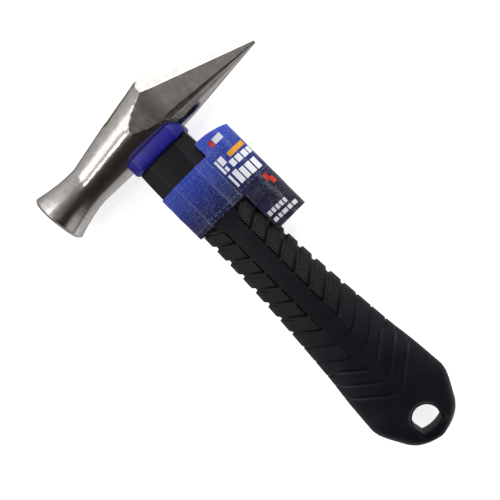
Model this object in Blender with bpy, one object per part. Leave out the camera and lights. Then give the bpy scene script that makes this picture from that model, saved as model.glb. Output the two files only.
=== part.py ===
"""Compact rock hammer, lying on its side.

A forged steel head with a round striking face and an eight-sided pick sits on a glass-fibre
core. A hard plastic jacket, two rubber tread pads and a rubber butt grip are moulded over the
core, a plastic collar covers the joint under the head, and a printed film label is wrapped
round the neck. +Y runs up the handle to the head, +X along the head to the pick, +Z is up.
"""

import math

import bmesh
import bpy
from mathutils import Vector

MM = 0.001
GAP = 0.3 * MM                    # clearance between two pieces that touch

# Handle, measured up from the butt end
BUTT_LENGTH = 48 * MM             # rubber butt grip, up to the tread pads
GRIP_LENGTH = 77 * MM             # tread pads
NECK_LENGTH = 35.2 * MM           # bare jacket between the pads and the collar
FLARE_HEIGHT = 18 * MM            # widest place of the butt
FLARE_WIDTH = 40 * MM
BUTT_JOIN_WIDTH = 34 * MM         # at the top of the butt grip
GRIP_WIDTH = 26.6 * MM            # at two thirds of the grip's height
NECK_WIDTH = 25.2 * MM
BUTT_THICKNESS = 15 * MM
GRIP_THICKNESS = 22.6 * MM
NECK_THICKNESS = 21 * MM
BUTT_ARC_RADIUS = 19 * MM         # round end of the butt, seen from the side
SECTION_POWER = 2.5               # squareness of the grip's oval, 2 is an ellipse
SPINE_WIDTH = 7.5 * MM            # smooth band between the pads, front and back
PAD_THICKNESS = 2.6 * MM
NECK_FLAT_TOP = 14 * MM           # width of the neck's front flat, under the collar
NECK_FLAT_BOTTOM = 10.5 * MM
NECK_SIDE_FLAT = 11 * MM          # height of the neck's side flat, across the thickness

# Tread
TREAD_PITCH = 7.65 * MM
FIRST_GROOVE = 6.3 * MM           # below the top of the pads
TREAD_GROOVE = 2.5 * MM
TREAD_DEPTH = 1.2 * MM

# Hang hole, an arch with a shallow curved floor
HOLE_WIDTH = 11.8 * MM
HOLE_HEIGHT = 10.5 * MM
HOLE_FLOOR = 5 * MM               # wall left below the hole
HOLE_FLOOR_SAG = 1.3 * MM

# Core, resin and the head's eye
CORE_WIDTH = 15 * MM
CORE_THICKNESS = 9 * MM
CORE_BOTTOM = 50 * MM             # foot of the core above the butt end
RESIN_WALL = 1.5 * MM
EYE_RECESS = 0.6 * MM             # how far core and resin stop below the top of the eye
EYE_CORNER = 0.4                  # corner cut of the eye, as a share of its half thickness
SPIGOT_HEIGHT = 2.6 * MM          # end of the jacket that the collar is pushed over
SPIGOT_WALL = 2.2 * MM            # jacket wall round the core inside the collar

# Collar
COLLAR_HEIGHT = 6.6 * MM
COLLAR_WIDTH = 27.3 * MM
COLLAR_THICKNESS = 24 * MM
COLLAR_CORNER = 3.9 * MM
COLLAR_EDGE = 1 * MM              # bevel round its lower rim

# Head, x from the handle's axis, heights from the head's seat on the jacket
HEAD_SEAT = 3.2 * MM              # seat above the collar's lower rim
FACE_X = -49.15 * MM              # middle of the face's rim
FACE_DIAMETER = 24.4 * MM
FACE_CENTRE = 9.4 * MM
FACE_BEVEL = 1.1 * MM
FACE_DOME = 1.6 * MM
FACE_FLAT_DIAMETER = 10 * MM      # flat middle of the domed face
FACE_TILT = math.radians(4.5)
WAIST_X = -30.6 * MM              # slimmest place behind the face
WAIST_DIAMETER = 18.2 * MM
WAIST_CENTRE = 10.1 * MM
SHOULDER_X = -3.2 * MM
SHOULDER_HEIGHT = 24.2 * MM
SHOULDER_THICKNESS = 23.8 * MM
APEX_X = 11.8 * MM                # top corner where the pick starts
APEX_HEIGHT = 26.8 * MM
APEX_THICKNESS = 27.8 * MM        # before the cheeks are ground flat
APEX_DROP = 0.4 * MM              # how far the underside there lies below the seat
CHEEK_THICKNESS = 24.6 * MM       # across the ground cheeks
TIP_X = 58.4 * MM
TIP_CENTRE = 3.4 * MM
TIP_SCALE = 0.07                  # the tip's section against the pick's root
UPPER_BEVEL = 6.1 * MM            # height of the pick's upper corner facets at its root
LOWER_BEVEL = 7.3 * MM
TOP_FLAT = 10.5 * MM              # width of the pick's top facet at its root
BOTTOM_FLAT = 10 * MM

# Label
STRAP_BOTTOM = 0.3 * MM           # above the top of the pads
STRAP_HEIGHT = 22 * MM
FLAG_HEIGHT = 48 * MM
FLAG_ABOVE_STRAP = 6.8 * MM
FLAG_REACH = 27.2 * MM            # from the handle's axis to the flag's far side
FLAG_THICKNESS = 17 * MM          # across the loop that the flag makes
FLAG_INSET = 1.2 * MM             # from the neck's side back to where the flag leaves it
FLAG_DROP = 2.9 * MM              # how much lower its top edge is at the far side
FILM = 0.4 * MM
FILM_STANDOFF = 0.65 * MM         # from the neck to the film, at half the strap's height
STEP = 0.05 * MM                  # run in which the film's edge steps from strap to flag

NECK_BOTTOM = BUTT_LENGTH + GRIP_LENGTH
HANDLE_LENGTH = NECK_BOTTOM + NECK_LENGTH
SEAT = HANDLE_LENGTH + HEAD_SEAT
APEX_CENTRE = APEX_HEIGHT / 2 - APEX_DROP
ROUND_STEPS = 32


def material(name, colour, roughness, metallic=0.0):
    """Principled material of one colour."""
    made = bpy.data.materials.new(name)
    made.use_nodes = True
    shader = made.node_tree.nodes["Principled BSDF"]
    shader.inputs["Base Color"].default_value = (*colour, 1.0)
    shader.inputs["Roughness"].default_value = roughness
    shader.inputs["Metallic"].default_value = metallic
    return made


def add_object(name, bm, finish=None):
    """Object from a bmesh, its faces turned outwards."""
    bmesh.ops.recalc_face_normals(bm, faces=bm.faces)
    mesh = bpy.data.meshes.new(name)
    bm.to_mesh(mesh)
    bm.free()
    obj = bpy.data.objects.new(name, mesh)
    bpy.context.scene.collection.objects.link(obj)
    if finish:
        mesh.materials.append(finish)
        mesh.shade_smooth()
        mesh.set_sharp_from_angle(angle=math.radians(28))
    return obj


def loft(name, rings, finish=None):
    """Closed body through rings of points, each ring with the same count."""
    bm = bmesh.new()
    loops = [[bm.verts.new(point) for point in ring] for ring in rings]
    for lower, upper in zip(loops, loops[1:]):
        for i in range(len(lower)):
            j = (i + 1) % len(lower)
            bm.faces.new((lower[i], lower[j], upper[j], upper[i]))
    bm.faces.new(loops[0])
    bm.faces.new(loops[-1])
    return add_object(name, bm, finish)


def cutter(obj):
    """Mark an object as a shape that only cuts or joins others."""
    obj.hide_render = True
    obj.display_type = "WIRE"
    return obj


def combine(obj, other, operation):
    """Boolean of obj with a guide shape, left on as a modifier."""
    step = obj.modifiers.new(other.name, "BOOLEAN")
    step.operation = operation
    step.object = cutter(other)


def smooth_value(stations, y):
    """Height-keyed value, eased by a Catmull-Rom curve through (y, value) stations."""
    if y <= stations[0][0]:
        return stations[0][1]
    if y >= stations[-1][0]:
        return stations[-1][1]
    i = max(k for k, station in enumerate(stations) if station[0] <= y)
    (y1, v1), (y2, v2) = stations[i], stations[i + 1]
    y0, v0 = stations[max(i - 1, 0)]
    y3, v3 = stations[min(i + 2, len(stations) - 1)]
    slope1 = (v2 - v0) / (y2 - y0)
    slope2 = (v3 - v1) / (y3 - y1)
    t = (y - y1) / (y2 - y1)
    span = y2 - y1
    return (
        v1 * (2 * t**3 - 3 * t**2 + 1)
        + slope1 * span * (t**3 - 2 * t**2 + t)
        + v2 * (3 * t**2 - 2 * t**3)
        + slope2 * span * (t**3 - t**2)
    )


def oval(y, half_x, half_z, power, steps=ROUND_STEPS):
    """Superellipse ring at height y on the handle."""
    ring = []
    for i in range(steps):
        angle = 2 * math.pi * i / steps
        c, s = math.cos(angle), math.sin(angle)
        x = math.copysign(half_x * abs(c) ** (2 / power), c)
        z = math.copysign(half_z * abs(s) ** (2 / power), s)
        ring.append((x, y, z))
    return ring


def handle_half_width(y):
    """Half of the handle's width at height y, with the round butt end."""
    flank = [
        (FLARE_HEIGHT, FLARE_WIDTH / 2),
        (FLARE_HEIGHT + (BUTT_LENGTH - FLARE_HEIGHT) * 0.6, FLARE_WIDTH / 2 * 0.925),
        (BUTT_LENGTH, BUTT_JOIN_WIDTH / 2),
        (BUTT_LENGTH + GRIP_LENGTH * 0.4, (BUTT_JOIN_WIDTH + 2 * GRIP_WIDTH) / 6),
        (BUTT_LENGTH + GRIP_LENGTH * 0.67, GRIP_WIDTH / 2),
        (NECK_BOTTOM, NECK_WIDTH / 2),
    ]
    if y >= FLARE_HEIGHT:
        return smooth_value(flank, y)
    reach = BUTT_ARC_RADIUS - min(y, BUTT_ARC_RADIUS)
    arc = math.sqrt(BUTT_ARC_RADIUS**2 - reach**2)
    slant = FLARE_WIDTH / 2 * (1 - 0.5 * (1 - y / FLARE_HEIGHT))
    return min(arc, slant)


def handle_half_thickness(y):
    """Half of the handle's thickness at height y, easing to a thinner butt end."""
    stations = [
        (0, BUTT_THICKNESS * 0.34),
        (0.12 * FLARE_HEIGHT, BUTT_THICKNESS * 0.46),
        (0.4 * FLARE_HEIGHT, BUTT_THICKNESS * 0.5),
        (FLARE_HEIGHT, BUTT_THICKNESS * 0.53),
        (BUTT_LENGTH, GRIP_THICKNESS * 0.45),
        (BUTT_LENGTH + GRIP_LENGTH * 0.45, GRIP_THICKNESS / 2),
        (NECK_BOTTOM, (GRIP_THICKNESS + NECK_THICKNESS) / 4),
    ]
    return smooth_value(stations, y)


def heights(start, end, count):
    """Evenly spaced heights, both ends included."""
    return [start + (end - start) * i / count for i in range(count + 1)]


def handle_rings(levels, inset=0.0):
    """Oval rings of the handle's outer skin, moved inwards by inset."""
    return [
        oval(y, handle_half_width(y) - inset, handle_half_thickness(y) - inset, SECTION_POWER)
        for y in levels
    ]


def bar(name, half_x, half_z, start, end, finish=None, corner=0.25, slope=0.0):
    """Straight bar along the handle, its four long corners cut and its top sloped along x."""
    cut = corner * min(half_x, half_z)
    outline = [(half_x - cut, half_z), (half_x, half_z - cut)]
    outline += [(x, -z) for x, z in reversed(outline)]
    outline += [(-x, -z) for x, z in outline]
    lower = [(x, start, z) for x, z in outline]
    upper = [(x, end + slope * x, z) for x, z in outline]
    return loft(name, [lower, upper], finish)


def octagon(y, half_x, half_z, flat_x, flat_z):
    """Eight-sided ring at height y, with its front and side flats."""
    outline = [(flat_x, half_z), (half_x, flat_z)]
    outline += [(x, -z) for x, z in reversed(outline)]
    outline += [(-x, -z) for x, z in outline]
    return [(x, y, z) for x, z in outline]


# ---------------------------------------------------------------- head


def head_stations():
    """Round sections of the head blank: x, centre height, half height, half thickness, power."""
    stations = []
    flare_steps = 7
    for i in range(flare_steps + 1):
        t = i / flare_steps
        x = FACE_X + (WAIST_X - FACE_X) * t
        radius = WAIST_DIAMETER / 2 + (FACE_DIAMETER - WAIST_DIAMETER) / 2 * (1 - t) ** 1.8
        centre = FACE_CENTRE + (WAIST_CENTRE - FACE_CENTRE) * t
        stations.append((x, centre, radius, radius, 2.0))
    keys = [
        (WAIST_X, WAIST_CENTRE, WAIST_DIAMETER / 2, WAIST_DIAMETER / 2),
        (SHOULDER_X, SHOULDER_HEIGHT / 2, SHOULDER_HEIGHT / 2, SHOULDER_THICKNESS / 2),
        (APEX_X, APEX_CENTRE, APEX_HEIGHT / 2, APEX_THICKNESS / 2),
    ]
    body_steps = 12
    for i in range(1, body_steps + 1):
        x = WAIST_X + (APEX_X - WAIST_X) * i / body_steps
        centre, half_y, half_z = (
            smooth_value([(key[0], key[k]) for key in keys], x) for k in (1, 2, 3)
        )
        power = 2.0 + 0.4 * i / body_steps
        stations.append((x, centre, half_y, half_z, power))
    last = stations[-1]
    stations.append((TIP_X + 5 * MM, *last[1:]))
    return stations


def head_ring(x, centre, half_y, half_z, power, tilt=0.0):
    """Ring of the head across x; tilt leans it so that its top moves away from the handle."""
    ring = []
    for px, _, pz in oval(0, half_y, half_z, power):
        ring.append((x - math.tan(tilt) * px, SEAT + centre + px, pz))
    return ring


def face_rings():
    """Rings of the striking face, from its flat middle out to the rim's bevel."""
    rim = FACE_DIAMETER / 2 - FACE_BEVEL
    flat = FACE_FLAT_DIAMETER / 2
    rings = []
    for radius in (flat, (flat + rim) / 2, rim):
        rise = FACE_DOME * (1 - ((radius - flat) / (rim - flat)) ** 2)
        x = FACE_X - FACE_BEVEL - rise
        rings.append(head_ring(x, FACE_CENTRE, radius, radius, 2.0, FACE_TILT))
    return rings


def grind(bm, point, normal):
    """Cut the pick's half back to a plane, on the side its normal points to, and close it."""
    verts = [vert for vert in bm.verts if vert.co.x > WAIST_X]
    edges = [edge for edge in bm.edges if all(vert.co.x > WAIST_X for vert in edge.verts)]
    faces = [face for face in bm.faces if all(vert.co.x > WAIST_X for vert in face.verts)]
    cut = bmesh.ops.bisect_plane(
        bm, geom=verts + edges + faces, dist=1e-7, plane_co=point, plane_no=normal, clear_outer=True
    )["geom_cut"]
    edges = [item for item in cut if isinstance(item, bmesh.types.BMEdge)]
    bmesh.ops.edgeloop_fill(bm, edges=edges)


def pick_point(height, half_z, at_tip):
    """Point of the pick's section at its root, or the same point of the scaled tip."""
    if at_tip:
        return Vector(
            (TIP_X, SEAT + TIP_CENTRE + TIP_SCALE * (height - APEX_CENTRE), TIP_SCALE * half_z)
        )
    return Vector((APEX_X, SEAT + height, half_z))


def grind_pick(bm):
    """Flat cheeks, the eight facets of the pick and its blunt tip."""
    top = APEX_CENTRE + APEX_HEIGHT / 2
    bottom = APEX_CENTRE - APEX_HEIGHT / 2
    side = CHEEK_THICKNESS / 2
    corners = [
        (top, -TOP_FLAT / 2),
        (top, TOP_FLAT / 2),
        (top - UPPER_BEVEL, side),
        (bottom + LOWER_BEVEL, side),
        (bottom, BOTTOM_FLAT / 2),
        (bottom, -BOTTOM_FLAT / 2),
        (bottom + LOWER_BEVEL, -side),
        (top - UPPER_BEVEL, -side),
    ]
    for sign in (-1, 1):
        grind(bm, Vector((0, 0, sign * side)), Vector((0, 0, sign)))
    inside = Vector((APEX_X, SEAT + APEX_CENTRE, 0))
    for here, after in zip(corners, corners[1:] + corners[:1]):
        a, b = pick_point(*here, False), pick_point(*after, False)
        far = pick_point(*here, True)
        normal = (b - a).cross(far - a).normalized()
        if normal.dot(a - inside) < 0:
            normal.negate()
        grind(bm, a, normal)
    grind(bm, Vector((TIP_X, 0, 0)), Vector((1, 0, 0)))


def make_head(finish):
    """Forged head with the eye cut through it."""
    rings = face_rings()
    for x, centre, half_y, half_z, power in head_stations():
        share = max(0.0, (WAIST_X - x) / (WAIST_X - FACE_X))
        rings.append(head_ring(x, centre, half_y, half_z, power, FACE_TILT * share))
    blank = loft("head_blank", rings)
    bm = bmesh.new()
    bm.from_mesh(blank.data)
    bpy.data.objects.remove(blank)
    grind_pick(bm)
    head = add_object("hammer_head", bm, finish)
    above = SEAT + APEX_CENTRE + APEX_HEIGHT
    eye = bar(
        "eye_cutter", eye_half_width(), eye_half_thickness(), HANDLE_LENGTH, above, corner=EYE_CORNER
    )
    combine(head, eye, "DIFFERENCE")
    return head


# ---------------------------------------------------------------- handle


def eye_half_width():
    """Half of the eye's width along the head."""
    return CORE_WIDTH / 2 + RESIN_WALL + 2 * GAP


def eye_half_thickness():
    """Half of the eye's size across the head."""
    return CORE_THICKNESS / 2 + RESIN_WALL + 2 * GAP


def eye_top():
    """Height at the handle's axis and slope along x at which core and resin end in the eye."""
    rims = []
    for x, centre, half_y, half_z, power in head_stations():
        crown = (1 - min(1.0, eye_half_thickness() / half_z) ** power) ** (1 / power)
        rims.append((x, centre + half_y * crown))
    face_side = smooth_value(rims, -eye_half_width())
    pick_side = smooth_value(rims, eye_half_width())
    slope = (pick_side - face_side) / (2 * eye_half_width())
    return SEAT + (face_side + pick_side) / 2 - EYE_RECESS, slope


def make_core(finish):
    """Glass-fibre bar from the grip up through the eye, ground flush with the head."""
    top, slope = eye_top()
    half_x, half_z = CORE_WIDTH / 2, CORE_THICKNESS / 2
    return bar("handle_core", half_x, half_z, CORE_BOTTOM, top, finish, slope=slope)


def make_resin(finish):
    """Ring of resin that fills the eye round the core."""
    half_x = CORE_WIDTH / 2 + GAP
    half_z = CORE_THICKNESS / 2 + GAP
    top, slope = eye_top()
    start = SEAT + 2 * GAP
    outer_x, outer_z = half_x + RESIN_WALL, half_z + RESIN_WALL
    resin = bar("eye_resin", outer_x, outer_z, start, top, finish, EYE_CORNER, slope)
    hole = bar("resin_cutter", half_x, half_z, start - HEAD_SEAT, top + APEX_HEIGHT)
    combine(resin, hole, "DIFFERENCE")
    return resin


def make_collar(finish):
    """Blue collar: eight-sided sleeve, its top saddled to the underside of the head."""
    half_x, half_z = COLLAR_WIDTH / 2, COLLAR_THICKNESS / 2
    rings = []
    for rise, inset in ((0, COLLAR_EDGE), (COLLAR_EDGE, 0), (COLLAR_HEIGHT, 0.3 * COLLAR_EDGE)):
        flat_x = half_x - COLLAR_CORNER - 0.4 * inset
        flat_z = half_z - COLLAR_CORNER - 0.4 * inset
        y = HANDLE_LENGTH + GAP + rise
        rings.append(octagon(y, half_x - inset, half_z - inset, flat_x, flat_z))
    collar = loft("collar", rings, finish)
    bore_x = CORE_WIDTH / 2 + GAP + SPIGOT_WALL + GAP
    bore_z = CORE_THICKNESS / 2 + GAP + SPIGOT_WALL + GAP
    top = HANDLE_LENGTH + 2 * COLLAR_HEIGHT
    bore = bar("collar_bore", bore_x, bore_z, HANDLE_LENGTH - 5 * MM, top)
    combine(collar, bore, "DIFFERENCE")
    saddle = [
        head_ring(x, centre, half_y + GAP, half_z + GAP, power)
        for x, centre, half_y, half_z, power in head_stations()[8:]
    ]
    combine(collar, loft("collar_saddle", saddle), "DIFFERENCE")
    return collar


def neck_ring(y, grow=0.0):
    """Eight-sided ring of the neck, its front flat widening towards the collar."""
    t = (y - NECK_BOTTOM) / NECK_LENGTH
    bulge = 0.5 * MM * math.sin(math.pi * min(max(t, 0), 1))
    flat = NECK_FLAT_BOTTOM + (NECK_FLAT_TOP - NECK_FLAT_BOTTOM) * t
    half_x, half_z = NECK_WIDTH / 2 + bulge + grow, NECK_THICKNESS / 2 + grow
    return octagon(y, half_x, half_z, flat / 2 + 0.4 * grow, NECK_SIDE_FLAT / 2 + 0.4 * grow)


def make_jacket(finish):
    """Hard plastic jacket: neck, spigot, spine bands and the tongue under the rubber."""
    rings = [neck_ring(y) for y in heights(NECK_BOTTOM, HANDLE_LENGTH, 6)]
    jacket = loft("handle_jacket", rings, finish)
    wall = GAP + SPIGOT_WALL
    spigot = bar(
        "jacket_spigot",
        CORE_WIDTH / 2 + wall,
        CORE_THICKNESS / 2 + wall,
        HANDLE_LENGTH - 3 * MM,
        HANDLE_LENGTH + SPIGOT_HEIGHT,
    )
    tongue_foot = HOLE_FLOOR + HOLE_HEIGHT + 5 * MM
    tongue = loft(
        "jacket_tongue",
        handle_rings(heights(tongue_foot, NECK_BOTTOM + 1 * MM, 12), PAD_THICKNESS + GAP),
    )
    spine_rings = []
    for y in heights(BUTT_LENGTH + GAP, NECK_BOTTOM + 1 * MM, 12):
        half_z = handle_half_thickness(y)
        half_x = SPINE_WIDTH / 2
        spine_rings.append(
            [(half_x, y, half_z), (half_x, y, -half_z), (-half_x, y, -half_z), (-half_x, y, half_z)]
        )
    spine = loft("jacket_spine", spine_rings)
    pocket = bar(
        "core_pocket",
        CORE_WIDTH / 2 + GAP,
        CORE_THICKNESS / 2 + GAP,
        CORE_BOTTOM - GAP,
        HANDLE_LENGTH + 10 * MM,
    )
    for part in (spigot, tongue, spine):
        combine(jacket, part, "UNION")
    combine(jacket, pocket, "DIFFERENCE")
    return jacket


def pad_ring(y, side):
    """C-shaped ring of a tread pad on one side of the handle."""
    ring = []
    edge = SPINE_WIDTH / 2 + GAP
    steps = 14
    for inset, order in ((0.0, 1), (PAD_THICKNESS, -1)):
        half_x = handle_half_width(y) - inset
        half_z = handle_half_thickness(y) - inset
        limit = math.acos((edge / half_x) ** (SECTION_POWER / 2))
        for i in range(steps + 1):
            angle = order * limit * (1 - 2 * i / steps)
            c, s = math.cos(angle), math.sin(angle)
            x = half_x * c ** (2 / SECTION_POWER)
            z = math.copysign(half_z * abs(s) ** (2 / SECTION_POWER), s)
            ring.append((side * x, y, z))
    return ring


def make_pad(name, side, finish):
    """Rubber tread pad with grooves across its outer side."""
    start, end = BUTT_LENGTH + GAP, NECK_BOTTOM - GAP
    pad = loft(name, [pad_ring(y, side) for y in heights(start, end, 14)], finish)
    bm = bmesh.new()
    count = int((GRIP_LENGTH - FIRST_GROOVE) / TREAD_PITCH)
    for i in range(count):
        y = end - FIRST_GROOVE - TREAD_PITCH * i
        inner = handle_half_width(y) - TREAD_DEPTH
        box = bmesh.ops.create_cube(bm, size=1)["verts"]
        size = Vector((3 * TREAD_DEPTH, TREAD_GROOVE, 2 * GRIP_THICKNESS))
        bmesh.ops.scale(bm, vec=size, verts=box)
        centre = Vector((side * (inner + 1.5 * TREAD_DEPTH), y, 0))
        bmesh.ops.translate(bm, vec=centre, verts=box)
    combine(pad, add_object(name + "_grooves", bm), "DIFFERENCE")
    return pad


def hole_outline():
    """Arch-shaped outline of the hang hole, from its floor round to its floor again."""
    half = HOLE_WIDTH / 2
    spring = HOLE_FLOOR + HOLE_HEIGHT - half
    steps = 12
    points = []
    for i in range(steps + 1):
        angle = math.pi * i / steps
        points.append((half * math.cos(angle), spring + half * math.sin(angle)))
    for i in range(1, 6):
        x = -0.88 * half + 1.76 * half * (i - 1) / 4
        rise = HOLE_FLOOR_SAG * (x / half) ** 2
        points.append((x, HOLE_FLOOR + rise))
    return points


def make_butt(finish):
    """Rubber butt grip with its pocket for the jacket's tongue and its hang hole."""
    levels = [0.15 * MM, 0.7 * MM, 1.8 * MM, 3.4 * MM, 5.4 * MM]
    levels += heights(8 * MM, FLARE_HEIGHT, 3)
    levels += heights(FLARE_HEIGHT, BUTT_LENGTH, 6)[1:]
    butt = loft("butt_grip", handle_rings(levels), finish)
    tongue_foot = HOLE_FLOOR + HOLE_HEIGHT + 5 * MM
    pocket = loft(
        "butt_pocket",
        handle_rings(heights(tongue_foot - GAP, BUTT_LENGTH + 2 * MM, 6), PAD_THICKNESS),
    )
    depth = BUTT_THICKNESS
    hole = loft("hang_hole", [[(x, y, z) for x, y in hole_outline()] for z in (-depth, depth)])
    combine(butt, pocket, "DIFFERENCE")
    combine(butt, hole, "DIFFERENCE")
    return butt


# ---------------------------------------------------------------- label


def flag_start():
    """Where the flag leaves the neck, from the handle's axis."""
    return NECK_WIDTH / 2 - FLAG_INSET


def flag_low():
    """Height of the flag's lower edge."""
    return NECK_BOTTOM + STRAP_BOTTOM + STRAP_HEIGHT + FLAG_ABOVE_STRAP - FLAG_HEIGHT


def label_path():
    """Closed path of the film round the neck and out to the flag's loop, as (x, z, on_flag)."""
    ring = neck_ring(NECK_BOTTOM + STRAP_BOTTOM + STRAP_HEIGHT / 2, FILM_STANDOFF)
    front_x, front_z = ring[0][0], ring[0][2]
    side_x, side_z = ring[1][0], ring[1][2]
    start = flag_start()
    turn_z = front_z + (side_z - front_z) * (start - front_x) / (side_x - front_x)
    skin_x, skin_z = handle_half_width(flag_low()), handle_half_thickness(flag_low())
    skin = skin_z * max(0.0, 1 - (start / skin_x) ** SECTION_POWER) ** (1 / SECTION_POWER)
    flag_z = max(turn_z, skin + 2 * GAP)
    bend = FLAG_THICKNESS / 2
    bend_x = FLAG_REACH - bend
    path = [(-front_x, front_z, False), (front_x, front_z, False), (start, turn_z, False)]
    path += [(start + STEP, flag_z, True)]
    steps = 14
    for i in range(steps + 1):
        angle = math.radians(100) * (1 - 2 * i / steps)
        path.append((bend_x + bend * math.cos(angle), bend * math.sin(angle), True))
    path += [(x, -z, on_flag) for x, z, on_flag in reversed(path[:4])]
    path += [(-side_x, -side_z, False), (-side_x, side_z, False)]
    return path


def make_label(finish):
    """Printed film label: a strap round the neck and a taller flag on the pick's side."""
    path = label_path()
    strap_low = NECK_BOTTOM + STRAP_BOTTOM
    strap_high = strap_low + STRAP_HEIGHT
    count = len(path)
    bm = bmesh.new()
    rings = []
    for i, (x, z, on_flag) in enumerate(path):
        before, after = path[i - 1], path[(i + 1) % count]
        along = Vector((after[0] - before[0], after[1] - before[1])).normalized()
        out_x, out_z = x - along.y * FILM, z + along.x * FILM
        low, high = strap_low, strap_high
        if on_flag:
            low, high = flag_low(), flag_low() + FLAG_HEIGHT
            high -= FLAG_DROP * ((x - flag_start()) / (FLAG_REACH - flag_start())) ** 2
        corners = [(x, low, z), (x, high, z), (out_x, high, out_z), (out_x, low, out_z)]
        rings.append([bm.verts.new(corner) for corner in corners])
    for here, after in zip(rings, rings[1:] + rings[:1]):
        for i in range(4):
            j = (i + 1) % 4
            bm.faces.new((here[i], here[j], after[j], after[i]))
    return add_object("label", bm, finish)


# ---------------------------------------------------------------- assembly


def build():
    """Make every piece, hang all of them on one empty and lay the hammer on the floor."""
    for old in list(bpy.data.objects):
        bpy.data.objects.remove(old)
    steel = material("forged_steel", (0.62, 0.60, 0.57), 0.32, 1.0)
    fibre = material("glass_fibre", (0.70, 0.62, 0.40), 0.5)
    resin = material("epoxy_resin", (0.05, 0.05, 0.05), 0.35)
    blue = material("blue_plastic", (0.02, 0.018, 0.42), 0.35)
    plastic = material("black_plastic", (0.012, 0.011, 0.014), 0.45)
    rubber = material("black_rubber", (0.02, 0.02, 0.02), 0.7)
    film = material("printed_film", (0.03, 0.06, 0.38), 0.3)
    pieces = [
        make_head(steel),
        make_core(fibre),
        make_resin(resin),
        make_collar(blue),
        make_jacket(plastic),
        make_pad("grip_pad_face_side", -1, rubber),
        make_pad("grip_pad_pick_side", 1, rubber),
        make_butt(rubber),
        make_label(film),
    ]
    hammer = bpy.data.objects.new("hammer", None)
    bpy.context.scene.collection.objects.link(hammer)
    for obj in list(bpy.data.objects):
        if obj is not hammer:
            obj.parent = hammer
    bpy.context.view_layer.update()
    points = []
    for piece in pieces:
        shape = piece.evaluated_get(bpy.context.evaluated_depsgraph_get())
        points += [piece.matrix_world @ Vector(corner) for corner in shape.bound_box]
    low = [min(point[k] for point in points) for k in range(3)]
    high = [max(point[k] for point in points) for k in range(3)]
    hammer.location = (-(low[0] + high[0]) / 2, -(low[1] + high[1]) / 2, -low[2])


build()
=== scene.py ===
import math

import bmesh
import bpy
from mathutils import Matrix, Vector, noise


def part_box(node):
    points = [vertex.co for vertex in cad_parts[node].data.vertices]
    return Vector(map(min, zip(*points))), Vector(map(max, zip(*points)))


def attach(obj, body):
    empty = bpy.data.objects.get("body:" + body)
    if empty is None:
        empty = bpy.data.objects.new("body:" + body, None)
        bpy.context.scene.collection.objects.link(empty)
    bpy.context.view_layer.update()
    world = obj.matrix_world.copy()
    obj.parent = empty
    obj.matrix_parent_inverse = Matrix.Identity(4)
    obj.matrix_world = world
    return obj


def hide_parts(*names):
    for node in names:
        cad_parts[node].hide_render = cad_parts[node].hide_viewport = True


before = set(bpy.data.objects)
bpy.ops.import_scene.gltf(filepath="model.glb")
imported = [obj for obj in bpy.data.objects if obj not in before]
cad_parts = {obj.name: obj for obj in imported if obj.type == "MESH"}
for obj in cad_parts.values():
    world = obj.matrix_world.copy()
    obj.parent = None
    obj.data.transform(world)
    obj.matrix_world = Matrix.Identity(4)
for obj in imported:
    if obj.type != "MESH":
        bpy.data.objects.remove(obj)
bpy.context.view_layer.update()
bpy.ops.object.select_all(action="DESELECT")

# ------------------------------------------------------------------ hammer head
# Drop-forged carbon steel, linished all over and left bright: a round poll with a slightly
# domed face, a waist, and an eight-sided pick ground from the same bar. The grinding leaves
# fine lines across the head and soft waves that bend the reflections.

MM = 0.001
collar_low, collar_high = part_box("collar")
AXIS_X = (collar_low.x + collar_high.x) / 2       # the handle's axis
MID_Z = (collar_low.z + collar_high.z) / 2        # the hammer's middle plane
COLLAR_BOTTOM = 160.5 * MM                        # above the butt end
BUTT_Y = collar_low.y - COLLAR_BOTTOM             # the butt end

SEAT = 163.4 * MM                 # underside of the head, above the butt end
FACE_X = -49.15 * MM              # rim of the striking face, from the handle's axis
FACE_DIAMETER = 24.4 * MM
FACE_CENTRE = 9.4 * MM            # above the seat
FACE_BEVEL = 1.1 * MM
FACE_DOME = 0.5 * MM
FACE_FLAT_DIAMETER = 10 * MM
FACE_TILT = math.radians(4.5)
WAIST_X = -30.6 * MM
WAIST_DIAMETER = 18.2 * MM
WAIST_CENTRE = 10.1 * MM
SHOULDER_X = -3.2 * MM
SHOULDER_HEIGHT = 24.2 * MM
SHOULDER_THICKNESS = 24.3 * MM
APEX_X = 11.8 * MM
APEX_HEIGHT = 26.8 * MM
APEX_CENTRE = 13 * MM
APEX_THICKNESS = 29.2 * MM        # before the cheeks are ground
CHEEK_THICKNESS = 24.6 * MM
TIP_X = 58.4 * MM
TIP_CENTRE = 3.4 * MM
TIP_SCALE = 0.07
UPPER_BEVEL = 6.1 * MM
LOWER_BEVEL = 7.3 * MM
TOP_FLAT = 10.5 * MM
BOTTOM_FLAT = 10 * MM
LOWER_CORNER = [(4.6 * MM, 11.2 * MM), (2 * MM, 8.7 * MM)]        # rounds the lower corners
CREASE_SOFTENING = 5 * MM         # where the cheek turns into the pick's side
HEAD_SIDES = 96
BEVEL = 0.22 * MM                 # softens every ground edge
BEVEL_ANGLE = math.radians(11)    # edges flatter than this stay as they are
CHEEK_SNAP = 0.15 * MM            # corners this close to a cheek are put on it
SLICE = 1.5 * MM                  # mesh size on the ground facets
SLIVER = 0.45 * MM                # corners closer than this are drawn together
FINE = 0.0001 * MM                # how exactly a cut meets its plane


def at(x, y, z=0.0):
    """Point x from the handle's axis, y above the butt end and z above the middle plane."""
    return Vector((AXIS_X + x, BUTT_Y + y, MID_Z + z))


def linear(code):
    """sRGB hex colour as the linear values that a shader takes."""
    channels = [int(code[i:i + 2], 16) / 255 for i in (0, 2, 4)]
    return (*[c / 12.92 if c <= 0.04045 else ((c + 0.055) / 1.055) ** 2.4 for c in channels], 1.0)


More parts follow.
